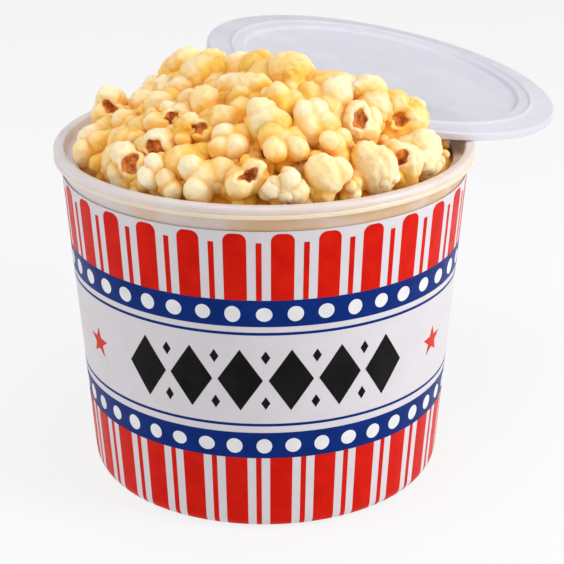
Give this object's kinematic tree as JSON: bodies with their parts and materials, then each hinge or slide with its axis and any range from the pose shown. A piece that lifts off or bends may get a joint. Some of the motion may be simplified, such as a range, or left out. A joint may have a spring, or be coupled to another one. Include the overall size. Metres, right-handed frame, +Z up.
{
  "type": "bucket of popcorn",
  "caption": "Round tapered plastic tub in a striped and dotted printed sleeve, heaped with popped corn, its clear lid laid askew on the heap and lip.",
  "frame": {"origin": "centre of the tub's flat underside", "axes": "+Z up along the tub's axis, -Y towards the front of the print, +X to the right seen from the front"},
  "size_m": [0.2196, 0.2335, 0.1859],
  "materials": {
    "tub_plastic": "milky translucent polypropylene, smooth",
    "printed_sleeve": "satin print in red, white and blue",
    "popcorn": "buttered popped corn, soft sheen",
    "lid_plastic": "milky translucent polypropylene, smooth"
  },
  "bodies": {
    "root": {"bucket": "tub_plastic", "label": "printed_sleeve", "popcorn": "popcorn", "lid": "lid_plastic"}
  },
  "joints": []
}
